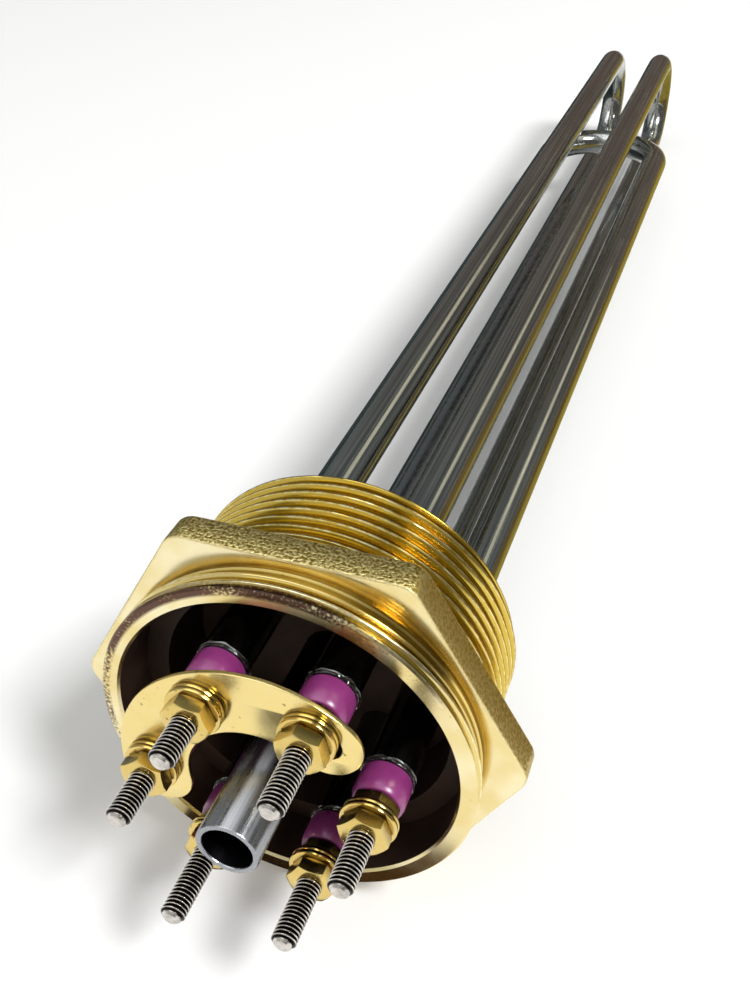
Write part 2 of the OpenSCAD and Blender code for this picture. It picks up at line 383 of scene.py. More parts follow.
# Brass inside the cup, painted near black as shade: half matt, with a brown mottle.
BRASS_BLACK = mottled("brass_cup_painted_shade", 6, 4.0, ("#221A17", "#4C372A"), (0.4, 0.65),
                      Metallic=0.4, Specular_IOR_Level=0.25)
print("made", BRASS_BLACK.name)

# %% [markdown]
# ## A thread that follows a helix
# A screw thread is one ridge that winds round a bar. Rings would look right from the side, but a real
# thread climbs, starts and runs out. So the tree below sweeps the ridge's own profile along a spiral.
# The profile sinks a little into the bar, and it shrinks at both ends, as a cut thread runs out.

# %% Tree helpers
def new_tree(name, inputs):
    """Starts a Geometry Nodes tree with these named inputs, and gives their sockets."""
    tree = bpy.data.node_groups.new(name, "GeometryNodeTree")
    for label, kind in inputs.items():
        tree.interface.new_socket(label, in_out="INPUT", socket_type=f"NodeSocket{kind}")
    tree.interface.new_socket("Geometry", in_out="OUTPUT", socket_type="NodeSocketGeometry")
    return tree, node(tree, "NodeGroupInput").outputs


def close_tree(tree, shape, material):
    """Ends a tree with plain geometry in its finish."""
    plain = node(tree, "GeometryNodeRealizeInstances", {"Geometry": shape})
    coated = node(tree, "GeometryNodeSetMaterial", {"Geometry": plain, "Material": material})
    node(tree, "NodeGroupOutput", {"Geometry": coated})
    return tree


def grow(tree, values, mesh=None):
    """Runs a tree on a mesh and returns what it makes as a plain mesh."""
    holder = host("holder", mesh or bpy.data.meshes.new("holder"))
    modifier = holder.modifiers.new("tree", "NODES")
    modifier.node_group = tree
    for socket in tree.interface.items_tree:
        if socket.in_out == "INPUT" and socket.name in values:
            modifier[socket.identifier] = values[socket.name]
    return taken(holder)


print("each tree ends in Realize Instances and Set Material")

# %% Thread tree
THREAD_INPUTS = {
    "Root radius": "Float", "Depth": "Float", "Crest width": "Float", "Root width": "Float",
    "Pitch": "Float", "Turns": "Float", "Points per turn": "Int", "Run-out": "Float", "Start": "Vector",
    "Material": "Material",
}
QUARTER = math.pi / 2
CREST_SOFT = 0.42
THIN_END = 0.05


def thread_tree():
    """Sweeps a rounded trapezoid along a right-handed spiral that runs towards +Y."""
    tree, given = new_tree("thread_ridge", THREAD_INPUTS)
    length = node(tree, MATH, {0: given["Pitch"], 1: given["Turns"]}, operation="MULTIPLY")
    spiral = node(tree, "GeometryNodeCurveSpiral", {
        "Resolution": given["Points per turn"], "Rotations": given["Turns"], "Height": length,
        "Start Radius": given["Root radius"], "End Radius": given["Root radius"], "Reverse": True})
    upright = node(tree, "GeometryNodeSetCurveNormal", {"Curve": spiral}, mode="Z_UP")
    tooth = node(tree, "GeometryNodeCurvePrimitiveQuadrilateral", {
        "Bottom Width": given["Root width"], "Top Width": given["Crest width"],
        "Height": given["Depth"], "Offset": 0.0}, mode="TRAPEZOID")
    soft = node(tree, MATH, {0: given["Crest width"], 1: CREST_SOFT}, operation="MULTIPLY")
    rounded = node(tree, "GeometryNodeFilletCurve", {"Curve": tooth, "Radius": soft, "Count": 2},
                   mode="POLY")
    half = node(tree, MATH, {0: given["Depth"], 1: 0.5}, operation="MULTIPLY")
    profile = node(tree, "GeometryNodeTransform", {
        "Geometry": rounded, "Translation": node(tree, "ShaderNodeCombineXYZ", {"X": half}),
        "Rotation": (0, 0, -QUARTER)})
    along = node(tree, "GeometryNodeSplineParameter").outputs["Factor"]
    from_end = node(tree, MATH, {0: along, 1: 0.5}, operation="PINGPONG")
    height = node(tree, RANGE, {"Value": from_end, "From Max": given["Run-out"], "To Min": THIN_END})
    ridge = node(tree, "GeometryNodeCurveToMesh", {
        "Curve": upright, "Profile Curve": profile, "Scale": height, "Fill Caps": True})
    laid = node(tree, "GeometryNodeTransform", {
        "Geometry": ridge, "Translation": given["Start"], "Rotation": (-QUARTER, 0, 0)})
    return close_tree(tree, laid, given["Material"])


THREAD = thread_tree()
SINK = 0.1


def thread(crest_r, depth, crest_w, root_w, pitch, start, length, points, material, run_out=0.5):
    """One thread in millimetres: start is where its first turn begins, length how far it climbs."""
    turns = length / pitch
    return grow(THREAD, {
        "Root radius": (crest_r - depth - SINK) * MM, "Depth": (depth + SINK) * MM,
        "Crest width": crest_w * MM, "Root width": root_w * MM, "Pitch": pitch * MM,
        "Turns": turns, "Points per turn": points, "Run-out": run_out / turns,
        "Start": Vector(start) * MM, "Material": material,
    })


print("thread tree with inputs", ", ".join(THREAD_INPUTS))

# %% [markdown]
# ## The plug
# The plug is one casting: a ring with a thread behind the hexagon, the hexagon, a short threaded collar
# for a cover, and a deep cup. A cylinder and a hexagon could be joined by a Boolean, but the lathe makes
# both at once, with the hexagon given as a radius that depends on the angle: flat sides that run into
# round corners.

# %% Plug sizes
HEX_H, EDGE = 5.5, 0.36
TANK_R, COLLAR_R = mounts["tank_thread"]["r_mm"], mounts["cover_thread"]["r_mm"]
TANK_PITCH, COLLAR_PITCH = 2.309, 1.9
# A pipe thread is 0.6403 of its pitch deep, and a metric thread 0.6134.
TANK_DEPTH, COLLAR_DEPTH = 0.6403 * TANK_PITCH, 0.6134 * COLLAR_PITCH
TANK_FLANK = math.radians(27.5)
COLLAR_CREST, COLLAR_ROOT = 0.4, 0.15
LAND, SLOPE = 0.5, 0.7
COLLAR_WALL, TANK_WALL = 1.9, 3.8
RIM, END = PLUG_LOW.y, PLUG_HIGH.y
FLAT_R, CORNER_R = PLUG_HIGH.z, PLUG_HIGH.x
FLOOR_T, SHOULDER = 12, 2
CUP_R = COLLAR_R - COLLAR_DEPTH - COLLAR_WALL
WELL_R = TANK_R - TANK_DEPTH - TANK_WALL
HALF_SIDE = math.pi / 6


def hexagon(inset):
    """Radius of the hexagon at an angle, with round corners and set in by a little."""
    sharp = FLAT_R / math.cos(HALF_SIDE)
    corner = (sharp - CORNER_R) / (1 / math.cos(HALF_SIDE) - 1)
    centre = (FLAT_R - corner) / math.cos(HALF_SIDE)
    turn_off = math.atan2(centre * math.sin(HALF_SIDE), FLAT_R)

    def radius(turn):
        from_flat = (turn - QUARTER + HALF_SIDE) % (2 * HALF_SIDE) - HALF_SIDE
        if abs(from_flat) <= turn_off:
            return FLAT_R / math.cos(from_flat) - inset
        from_corner = HALF_SIDE - abs(from_flat)
        return (centre * math.cos(from_corner) - inset
                + math.sqrt(corner ** 2 - (centre * math.sin(from_corner)) ** 2))

    return radius


print("cup", round(2 * CUP_R, 2), "mm wide, well", round(2 * WELL_R, 2), "mm")

# %% [markdown]
# The blank is turned in stretches, one for each finish, and the stretches are then welded. Its two round
# ends, the back face and the floor of the cup, are filled last.

# %% Plug blank
RIM_INNER, RIM_OUTER, RIM_DROP = 0.4, 0.3, 0.25
FILLET, CHAMFER = 0.3, 0.8
HAIR = 0.01
ROUND_STEPS = 432
THREADED, FACE, CAST, BLACK, COLLAR = range(5)
PLUG_COATS = (BRASS_THREAD, BRASS_FACE, BRASS_CAST, BRASS_BLACK, BRASS_COLLAR)


def plug_blank():
    """The plug before its holes and threads: outside from rim to end, then inside from rim to floor."""
    collar_root, tank_root = COLLAR_R - COLLAR_DEPTH, TANK_R - TANK_DEPTH
    soft = 0.3 * EDGE
    rim = [(CUP_R, RIM + RIM_INNER), (CUP_R + RIM_INNER, RIM), (COLLAR_R - RIM_OUTER, RIM),
           (COLLAR_R, RIM + RIM_DROP)]
    collar = [(COLLAR_R, RIM + RIM_DROP), (COLLAR_R, RIM + LAND), (collar_root, RIM + LAND + SLOPE),
              (collar_root, -HEX_H - FILLET)]
    front = [(collar_root, -HEX_H - FILLET), (collar_root + FILLET, -HEX_H), (hexagon(EDGE), -HEX_H)]
    sides = [(hexagon(EDGE), -HEX_H), (hexagon(soft), -HEX_H + soft), (hexagon(0), -HEX_H + EDGE),
             (hexagon(0), -EDGE), (hexagon(soft), -soft), (hexagon(EDGE), 0)]
    back = [(hexagon(EDGE), 0), (TANK_R, 0), (TANK_R, LAND), (tank_root, LAND + SLOPE),
            (tank_root, END - CHAMFER), (tank_root - CHAMFER, END)]
    inside = [(WELL_R, END - FLOOR_T), (WELL_R, -SHOULDER), (CUP_R, -SHOULDER), (CUP_R, RIM + RIM_INNER)]
    shape = bmesh.new()
    for profile, coat in ((rim, FACE), (collar, COLLAR), (front, FACE), (sides, CAST), (back, THREADED),
                          (inside, BLACK)):
        lathe(shape, profile, steps=ROUND_STEPS, caps=False, coat=coat)
    bmesh.ops.remove_doubles(shape, verts=shape.verts, dist=SAME_POINT)
    for ring_r, y, coat in ((tank_root - CHAMFER, END, FACE), (WELL_R, END - FLOOR_T, BLACK)):
        ring = [v for v in shape.verts if abs(v.co.y - y) < SAME_POINT and v.co.xz.length < ring_r + HAIR]
        ring.sort(key=lambda v: math.atan2(v.co.z, v.co.x))
        shape.faces.new(ring).material_index = coat
    return to_mesh(shape, "plug_blank", *PLUG_COATS)


BLANK = plug_blank()
print("blank", len(BLANK.polygons), "faces")

# %% [markdown]
# Six tubes and the thermowell pass through the floor of the cup. A Boolean cuts their holes, as a drill
# would, because a round hole that cuts a flat face is easy to ask for and hard to draw by hand.

# %% Tube holes
TUBE_R = (box_mm("left_sheath")[1].x - box_mm("left_sheath")[0].x) / 2
THERMOWELL_R = box_mm("thermowell")[1].x
BRAZE_GAP, OVERCUT = 0.05, 2
HOLE_STEPS = 48


def tube_holes():
    """Seven drills through the floor of the plug."""
    shape = bmesh.new()
    reach = [END - FLOOR_T - OVERCUT, END + OVERCUT]
    for leg in LEGS:
        lathe(shape, [(TUBE_R + BRAZE_GAP, y) for y in reach], (leg.x, leg.z), steps=HOLE_STEPS)
    lathe(shape, [(THERMOWELL_R + BRAZE_GAP, y) for y in reach], steps=HOLE_STEPS)
    return to_mesh(shape, "tube_holes")


def drilled(mesh, drill):
    """Cuts one mesh out of another."""
    body, tool = host("body", mesh), host("tool", drill)
    cut = body.modifiers.new("holes", "BOOLEAN")
    cut.operation, cut.solver, cut.object = "DIFFERENCE", "EXACT", tool
    made = taken(body)
    bpy.data.objects.remove(tool)
    return made


DRILLED = drilled(BLANK, tube_holes())
print("drilled", len(DRILLED.polygons), "faces")

# %% [markdown]
# The two threads are wound on last, and every point then gets the number that the brass reads.

# %% Plug threads
COLLAR_STOP, TANK_STOP = 1.4, 0.9
TURN_POINTS = 180
NEAR, WALL_CLEAR = 0.1, 0.5


def mark_crests(mesh, height):
    """Writes a number from 0 to 1 on each point: its height on a thread, and on fasteners how far it is left
    out of the painted shade and grime.
    """
    crest = mesh.attributes.new("crest", "FLOAT", "POINT")
    crest.data.foreach_set("value", [height(point.co / MM) for point in mesh.vertices])


def plug_height(point):
    """1 off the threads, on them the share of the thread's depth, and 0 on the flats of the hexagon."""
    reach = point.xz.length
    if reach > FLAT_R - EDGE - NEAR and -HEX_H + HAIR < point.y < -HAIR:
        from_edge = min(point.y + HEX_H, -point.y) / EDGE
        return max(0, 1 - from_edge)
    for crest_r, depth, bore, low, high in ((COLLAR_R, COLLAR_DEPTH, CUP_R, RIM, -HEX_H),
                                            (TANK_R, TANK_DEPTH, WELL_R, 0, END)):
        if low + NEAR < point.y < high - NEAR and reach > bore + WALL_CLEAR:
            return min(1, max(0, 1 - (crest_r - reach) / depth))
    return 1


def plug():
    """The finished plug: drilled blank with its two threads."""
    start = RIM + LAND
    collar = thread(COLLAR_R, COLLAR_DEPTH, COLLAR_CREST, COLLAR_PITCH - COLLAR_ROOT, COLLAR_PITCH,
                    (0, start, 0), -HEX_H - COLLAR_STOP - start, TURN_POINTS, BRASS_COLLAR)
    collar.polygons.foreach_set("material_index", [COLLAR] * len(collar.polygons))
    crest = (TANK_PITCH - 2 * TANK_DEPTH * math.tan(TANK_FLANK)) / 2
    tank = thread(TANK_R, TANK_DEPTH, crest, TANK_PITCH - crest, TANK_PITCH,
                  (0, LAND, 0), END - TANK_STOP - LAND, TURN_POINTS, BRASS_THREAD)
    mesh = to_mesh(together(DRILLED, collar, tank), "plug", *PLUG_COATS)
    mark_crests(mesh, plug_height)
    return mesh


piece("plug", plug(), "brass_casting", "plug_body")

# %% [markdown]
# ## Stainless tube
# The tubes are drawn and polished stainless steel. It is almost a mirror along its length, but drawing
# leaves hair-fine lines that run with the tube, and handling leaves scuffs. Noise stretched along Y
# makes the lines. They are drawn about 0.4 mm wide, coarser than the real ones, so that they show. Where
# a tube was brazed into the plug, heat has tinted it for a few centimetres. On the thermowell the same band
# is painted near black, as painted shade for the shadow deep in the cup, and its bore is painted near black
# all through, as painted shade.

# %% Stainless steel
DRAW_LINE, DRAW_RUN, SCUFF = 0.4, 60, 7
HEAT_SHADE_Y, HEAT_SHADE_FULL, HEAT_SHADE_END = 4, 14, 34


def steel_drawn(name, tone_dark, tone_light, heat_and_shade, low, high):
    """Polished stainless steel: a dark mirror with fine lines, and a band by the joint, brazing tint on the
    tubes and painted shade on the thermowell.
    """
    material, tree, shader, place = finish(name, Metallic=1.0)
    stretch = node(tree, "ShaderNodeMapping", {"Vector": place, "Scale": (1, DRAW_LINE / DRAW_RUN, 1)})
    lines = node(tree, NOISE, {"Vector": stretch, "Scale": per_mm(DRAW_LINE), "Detail": 2.0})
    scuff = node(tree, NOISE, {"Vector": place, "Scale": per_mm(SCUFF), "Detail": 6.0, "Roughness": 0.7})
    streak = node(tree, RANGE, {"Value": lines, "From Min": 0.3, "From Max": 0.7})
    along = node(tree, "ShaderNodeSeparateXYZ", {0: place}).outputs["Y"]
    from_joint = node(tree, MATH, {0: along, 1: HEAT_SHADE_Y * MM}, operation="SUBTRACT")
    distance = node(tree, MATH, {0: from_joint}, operation="ABSOLUTE")
    heat_and_shade_zone = node(tree, RANGE, {"Value": distance, "From Min": HEAT_SHADE_END * MM, "From Max": HEAT_SHADE_FULL * MM})
    worn = node(tree, MATH, {0: lines, 1: scuff}, operation="MULTIPLY")
    dress(shader, tone_dark, ((streak, tone_light), (heat_and_shade_zone, heat_and_shade)), (worn, 0.12, 0.4, low, high),
          (lines, 0.05, 0.01))
    return material


# The tube's band is a slight brazing tint; on the thermowell the band is painted shade, near black towards
# the cup, and the bore is painted near black all through as painted shade.
STEEL_TUBE = steel_drawn("stainless_steel_drawn", "#8E9292", "#C6C7C4", "#7A8284", 0.1, 0.24)
STEEL_WELL = steel_drawn("stainless_steel_scuffed", "#94969A", "#A6A8AC", "#2A2726", 0.2, 0.34)
STEEL_BORE = steel_drawn("stainless_steel_bore_painted_shade", "#0B0B0D", "#131316", "#0B0B0D", 0.45, 0.6)
print("made", STEEL_TUBE.name, STEEL_WELL.name, "and", STEEL_BORE.name)

# %% [markdown]
# ## Heating elements
# Each element is one steel tube bent into a hairpin: two straight legs and a half circle. The path lies
# in a plane, so a ring of points carried along it never twists. The tube has a wall, so an outer and an
# inner skin are carried along together and joined at the two mouths.

# %% Hairpin tubes
TUBE_WALL = 0.8
TUBE_STEPS, BEND_STEPS = 40, 40
MOUTH_RUN = 20


def hairpin_path(half, mouth, bend):
    """Centre points and directions of a hairpin in its own plane: across, then along Y."""
    leg = (mouth, mouth + MOUTH_RUN, 0.5 * (mouth + bend))
    path = [(-half, y, 0.0, 1.0) for y in leg]
    for step in range(BEND_STEPS + 1):
        turn = math.pi * step / BEND_STEPS
        path.append((-half * math.cos(turn), bend + half * math.sin(turn), math.sin(turn), math.cos(turn)))
    return path + [(half, y, 0.0, -1.0) for y in reversed(leg)]


def hairpin(solid):
    """A hollow hairpin in the place of one element's solid."""
    low, high = box_mm(solid)
    middle = (low + high) / 2
    across = Vector((1, 0, 0)) if high.x - low.x > high.z - low.z else Vector((0, 0, 1))
    along = Vector((0, 1, 0))
    out = across.cross(along)
    half = (high - low).dot(across) / 2 - TUBE_R
    path = hairpin_path(half, low.y, high.y - half - TUBE_R)
    turns = [math.tau * step / TUBE_STEPS for step in range(TUBE_STEPS)]
    shape = bmesh.new()
    skins = []
    for radius in (TUBE_R, TUBE_R - TUBE_WALL):
        rings = []
        for a, y, da, dy in path:
            centre = Vector((middle.x, 0, middle.z)) + across * a + along * y
            side = across * dy - along * da
            rings.append([shape.verts.new(centre + radius * (math.cos(turn) * side + math.sin(turn) * out))
                          for turn in turns])
        skins.append(rings)
    outer, inner = skins
    mouths = [(inner[0], outer[0]), (outer[-1], inner[-1])]
    skin(shape, [*zip(outer, outer[1:]), *zip(inner[1:], inner), *mouths])
    return to_mesh(shape, solid, STEEL_TUBE)


for side in ELEMENTS:
    piece(f"{side}_tube", hairpin(f"{side}_sheath"), "stainless_steel", f"{side}_sheath")

# %% [markdown]
# ## Thermowell
# The thermowell is a steel tube, open among the terminals and closed at its far end. One profile is
# turned for the outside and its rounded lip, another for the dark inside, and the two are welded.

# %% Thermowell tube
LIP, LIP_SOFT = 0.3, 0.1
TIP_STEPS, WELL_STEPS = 10, 96


def thermowell():
    """A tube with a rounded lip and a closed round end."""
    low, high = box_mm("thermowell")
    outer, inner = THERMOWELL_R, mounts["probe_bore"]["r_mm"]
    end = high.y - outer
    arc = [QUARTER * step / TIP_STEPS for step in range(1, TIP_STEPS)]
    profile = [(inner, low.y + LIP), (inner + LIP_SOFT, low.y + LIP_SOFT), (inner + LIP, low.y),
               (outer - LIP, low.y), (outer - LIP_SOFT, low.y + LIP_SOFT), (outer, low.y + LIP)]
    profile += [(outer, end)]
    profile += [(outer * math.cos(turn), end + outer * math.sin(turn)) for turn in arc] + [(0, high.y)]
    hollow = [(inner, low.y + LIP), (inner, end)]
    hollow += [(inner * math.cos(turn), end + inner * math.sin(turn)) for turn in arc] + [(0, end + inner)]
    shape = bmesh.new()
    lathe(shape, profile, steps=WELL_STEPS, caps=False)
    lathe(shape, hollow, steps=WELL_STEPS, caps=False, coat=1)
    bmesh.ops.remove_doubles(shape, verts=shape.verts, dist=SAME_POINT)
    return to_mesh(shape, "thermowell_tube", STEEL_WELL, STEEL_BORE)


piece("thermowell_tube", thermowell(), "stainless_steel", "thermowell")

# %% [markdown]
# ## Terminal studs
# Six steel pins come out of the elements and end in M4 studs. Their rolled thread is painted near black
# in the root, painted shade with some oil, and near white on the crest, a painted highlight with some wear,
# and each tip was cropped and left bare. The thread tree makes the ridge, and the same height number as
# on the plug tells the finish where the crest is.

# %% Stud steel
def steel_stud():
    """Carbon steel thread: roots painted near black as shade and oil, crests painted near white as a
    highlight.
    """
    material, tree, shader, place = finish("steel_threaded_painted_light", Metallic=1.0)
    crest = node(tree, "ShaderNodeAttribute", attribute_name="crest").outputs["Fac"]
    worn = node(tree, NOISE, {"Vector": place, "Scale": per_mm(1.2), "Detail": 4.0})
    # edge picks the crest, painted near white as a highlight; the near black base is painted shade with some
    # oil.
    edge = node(tree, RANGE, {"Value": crest, "From Min": 0.62, "From Max": 0.98})
    dirt = node(tree, RANGE, {"Value": worn, "From Min": 0.35, "From Max": 0.7, "To Max": 0.45})
    dress(shader, "#0A0807", ((edge, "#F6F0E8"), (dirt, "#2E2620")), (worn, 0, 1, 0.16, 0.32))
    return material


STEEL_STUD = steel_stud()
print("made", STEEL_STUD.name)

# %% [markdown]
# Each stud stands out in front of its nut, and only that stretch needs a thread. The three that hold the
# link plate have their nuts further forward by the sheet's thickness.

# %% Stud pieces
STUD_R = mounts["terminal_studs"]["stud_r_mm"]
STUD_PITCH, STUD_DEPTH, STUD_CREST = 0.7, 0.43, 0.1
STUD_STEPS, STUD_RUN_OUT = 48, 0.6
STUD_ROOT_Y, PIN_R = 3, 1.25
TIP_L, TIP_FACE, TIP_SIDE, TIP_SOFT, TIP_STEP = 0.45, 0.4, 0.05, 0.3, 0.1
TIP_SHINE, NUT_BITE = 0.9, 0.6


def stud(number, nut_front):
    """A pin with its threaded stud."""
    low, high = box_mm(f"terminal_pin_{number}")
    leg = LEGS[number - 1]
    core = STUD_R - STUD_DEPTH
    foot = box_mm(f"bush_{number}")[0].y + STUD_ROOT_Y
    tip = low.y + TIP_L
    profile = [(0, low.y), (core - TIP_FACE, low.y), (core - TIP_SIDE, low.y + TIP_SOFT),
               (core - TIP_SIDE, tip), (core, tip + TIP_STEP), (core, foot), (PIN_R, foot), (PIN_R, high.y),
               (0, high.y)]
    bar = to_mesh(lathe(bmesh.new(), profile, (leg.x, leg.z), steps=STUD_STEPS), "core", STEEL_STUD)
    start = tip - TIP_STEP
    ridge = thread(STUD_R, STUD_DEPTH, STUD_CREST, STUD_PITCH - STUD_CREST, STUD_PITCH,
                   (leg.x, start, leg.z), nut_front + NUT_BITE - start, STUD_STEPS, STEEL_STUD, STUD_RUN_OUT)
    mesh = to_mesh(together(bar, ridge), f"stud_{number}", STEEL_STUD)
    axis = Vector((leg.x, leg.z))

    def height(point):
        if point.y < tip + HAIR:
            return TIP_SHINE
        return max(0, ((point.xz - axis).length - core) / STUD_DEPTH)

    mark_crests(mesh, height)
    return mesh


LINKED = (2, 3, 4)
PLATE_LOW, PLATE_HIGH = box_mm("link_plate")
PLATE_T = PLATE_HIGH.y - PLATE_LOW.y
WASHER_T = 0.8
NUT_H, BASE_NUT_H = 2.6, 2.2
BASE_FRONT = box_mm("base_nuts")[0].y
SEATS = [BASE_FRONT - (PLATE_T if number in LINKED else 0) for number in TERMINALS]
NUT_FRONTS = [seat - 2 * WASHER_T - NUT_H for seat in SEATS]
for number, front in zip(TERMINALS, NUT_FRONTS):
    piece(f"stud_{number}", stud(number, front), "terminal_steel", f"terminal_pin_{number}")

# %% [markdown]
# ## Insulating bushes
# A glossy magenta bush fills the mouth of each tube and keeps the stud off the steel. It is moulded, so
# its edges are round and its skin is smooth, with only a faint ripple. A thin shoulder runs round its
# front edge. Two short lists of steps give the shape of both edges, in from the side and back.

# %% Magenta bush
# Moulded magenta silicone: saturated and glossy under a soft coat, with a faint ripple.
BUSH = mottled("silicone_magenta_moulded", 3, 2.0, ("#7C2868", "#9A4080"), (0.24, 0.36), (0.08, 0.05),
               Coat_Weight=0.5, Coat_Roughness=0.28)
MOUTH = box_mm("left_sheath")[0].y
FIT, STUD_CLEAR = 0.02, 0.2
SPIGOT_R = TUBE_R - TUBE_WALL - FIT
FRONT_EDGE = ((0.85, 0), (0.45, 0.1), (0.2, 0.4), (0.12, 0.8), (0, 1.05))
BACK_EDGE = ((0, 0.5), (0.12, 0.15), (0.4, 0))
BUSH_STEPS = 64


def bush(number):
    """A flanged bush with round edges, bored for the pin and the stud."""
    low, high = box_mm(f"bush_{number}")
    leg = LEGS[number - 1]
    reach = (high.x - low.x) / 2
    stud_bore, pin_bore = STUD_R - STUD_DEPTH + STUD_CLEAR, PIN_R + FIT
    foot = low.y + STUD_ROOT_Y
    profile = [(stud_bore, low.y)]
    profile += [(reach - inset, low.y + back) for inset, back in FRONT_EDGE]
    profile += [(reach - inset, MOUTH - ahead) for inset, ahead in BACK_EDGE]
    profile += [(SPIGOT_R, MOUTH), (SPIGOT_R, high.y), (pin_bore, high.y), (pin_bore, foot)]
    profile += [(stud_bore, foot)]
    shape = lathe(bmesh.new(), profile, (leg.x, leg.z), steps=BUSH_STEPS, loop=True)
    return to_mesh(shape, f"bush_{number}", BUSH)


for number in TERMINALS:
    piece(f"insulator_{number}", bush(number), "magenta_bush", f"bush_{number}")

# %% [markdown]
# ## Resin beads
# A bead of clear resin seals the joint between each tube and its bush. It was dabbed on, so it is uneven,
# and it sparkles where it catches the light. Sine waves with a different phase on each tube give every
# bead its own lumps.

# %% Clear resin
# Clear epoxy: glassy, with tiny ripples that sparkle.
RESIN = mottled("epoxy_clear", 0.6, 2.0, None, (0.02, 0.08), (0.6, 0.15),
                Base_Color=colour("#F4F2EE"), IOR=1.5, Transmission_Weight=1.0)
BEAD_STEPS, BEAD_RINGS = 96, 10
BEAD_GAP, BEAD_R, LUMP = 0.06, 0.2, 0.13
WAVES = ((3, 1), (7, 2), (11, -1))


def beads():
    """One uneven ring round the mouth of each tube."""
    low, high = box_mm("seal_beads")
    middle, half = (low.y + high.y) / 2, (high.y - low.y) / 2
    shape = bmesh.new()
    for number, leg in enumerate(LEGS):
        rings = []
        for step in range(BEAD_STEPS):
            turn = math.tau * step / BEAD_STEPS
            swell = 1 + LUMP * sum(math.sin(count * turn + phase * number) for count, phase in WAVES)
            ring = []
            for side in range(BEAD_RINGS):
                around = math.tau * side / BEAD_RINGS
                reach = TUBE_R + BEAD_GAP + BEAD_R * swell * (1 + math.cos(around))
                ring.append(shape.verts.new((leg.x + reach * math.cos(turn),
                                             middle + half * swell * math.sin(around),
                                             leg.z + reach * math.sin(turn))))
            rings.append(ring)
        skin(shape, zip(rings, rings[1:] + rings[:1]))
    return to_mesh(shape, "beads", RESIN)


piece("resin_beads", beads(), "clear_resin", "seal_beads")

# %% [markdown]
# ## Brass fasteners
# Nuts are turned from bar, washers and the link plate are punched from sheet, and all are left bright.
# Dark specks dot them, and the bores and the faces that look into the cup are painted dark, as painted
# shade with some grime, so each point carries a number that is 1 where it is left bright.

# %% Bright brass
def brass_bright(name, dark, light, speck_size, speck_share):
    """Bright brass: pale yellow, lightly scratched, with small dark specks."""
    material, tree, shader, place = finish(name, Metallic=1.0)
    clean = node(tree, "ShaderNodeAttribute", attribute_name="crest").outputs["Fac"]
    cloud, speck = (
        node(tree, NOISE, {"Vector": place, "Scale": per_mm(size), "Detail": detail})
        for size, detail in ((4, 4.0), (speck_size, 2.0)))
    spot = node(tree, RANGE, {
        "Value": speck, "From Min": speck_share, "From Max": speck_share + 0.06, "To Max": 0.8})
    # Low numbers darken the bores and the faces that look into the cup: painted shade with some grime.
    shade_and_grime = node(tree, RANGE, {"Value": clean, "To Min": 1.0, "To Max": 0.0})
    dress(shader, dark, ((cloud, light), (spot, "#6B4A1A"), (shade_and_grime, "#3A2E10")),
          (cloud, 0.3, 0.7, 0.14, 0.28), (speck, 0.1, 0.02))
    return material


BRASS_FASTENER = brass_bright("brass_turned_bright", "#CFB05A", "#EAD28A", 0.8, 0.68)
BRASS_SHEET = brass_bright("brass_sheet_rolled", "#E8CE7E", "#F4E0A0", 1.1, 0.7)
print("made", BRASS_FASTENER.name, "and", BRASS_SHEET.name)

# %% [markdown]
# One nut and one washer are modelled, and a tree sets a copy on each stud. It reads the place and the
# turn of every copy from six points, so the nuts can each stop at their own angle as real ones do.

# %% Tree that sets a fastener on each stud
def fastener_tree():
    """Sets a copy of one object on each point, turned about Y by the point's own angle."""
    inputs = {"Geometry": "Geometry", "Fastener": "Object", "Material": "Material"}
    tree, given = new_tree("on_each_stud", inputs)
    model = node(tree, "GeometryNodeObjectInfo", {"Object": given["Fastener"], "As Instance": True})
    turn = node(tree, "GeometryNodeInputNamedAttribute", {"Name": "turn"}, data_type="FLOAT")
    angles = node(tree, "ShaderNodeCombineXYZ", {"Y": turn})
    facing = node(tree, "FunctionNodeEulerToRotation", {0: angles})
    copies = node(tree, "GeometryNodeInstanceOnPoints", {
        "Points": given["Geometry"], "Instance": model.outputs["Geometry"], "Rotation": facing})
    return close_tree(tree, copies, given["Material"])


FASTENERS = fastener_tree()


def on_studs(model, fronts, turns):
    """Copies of one mesh with their front faces at these heights, turned by these angles in degrees."""
    points = bpy.data.meshes.new("points")
    points.from_pydata([(leg.x * MM, y * MM, leg.z * MM) for leg, y in zip(LEGS, fronts)], [], [])
    turn = points.attributes.new("turn", "FLOAT", "POINT")
    turn.data.foreach_set("value", [math.radians(angle) for angle in turns])
    pattern = host("pattern", model)
    made = grow(FASTENERS, {"Fastener": pattern, "Material": BRASS_FASTENER}, points)
    bpy.data.objects.remove(pattern)
    return smooth(made)


def two_faced(half, height):
    """Mirrors half a profile, so that both faces of a fastener are alike."""
    return half + [(radius, height - y) for radius, y in reversed(half)]


print("tree", FASTENERS.name, "for", len(LEGS), "studs")

# %% [markdown]
# ## Nuts
# The corners of a nut are turned off at 30 degrees on both faces, which leaves a curved edge on every
# flat. So the height of its profile changes with the angle, and the nut is skinned row by row.

# %% Nuts
NUT_FLAT_R, NUT_FACE = 3.5, 0.95
NUT_TURN = (-14, -18, -10, -22, 8, -4)
NUT_BORE_IN, BORE_BACK, BORE_OUT = 0.22, 0.25, 0.3
NUT_BACK_UNSHADED = 0.3
NUT_STEPS = 96


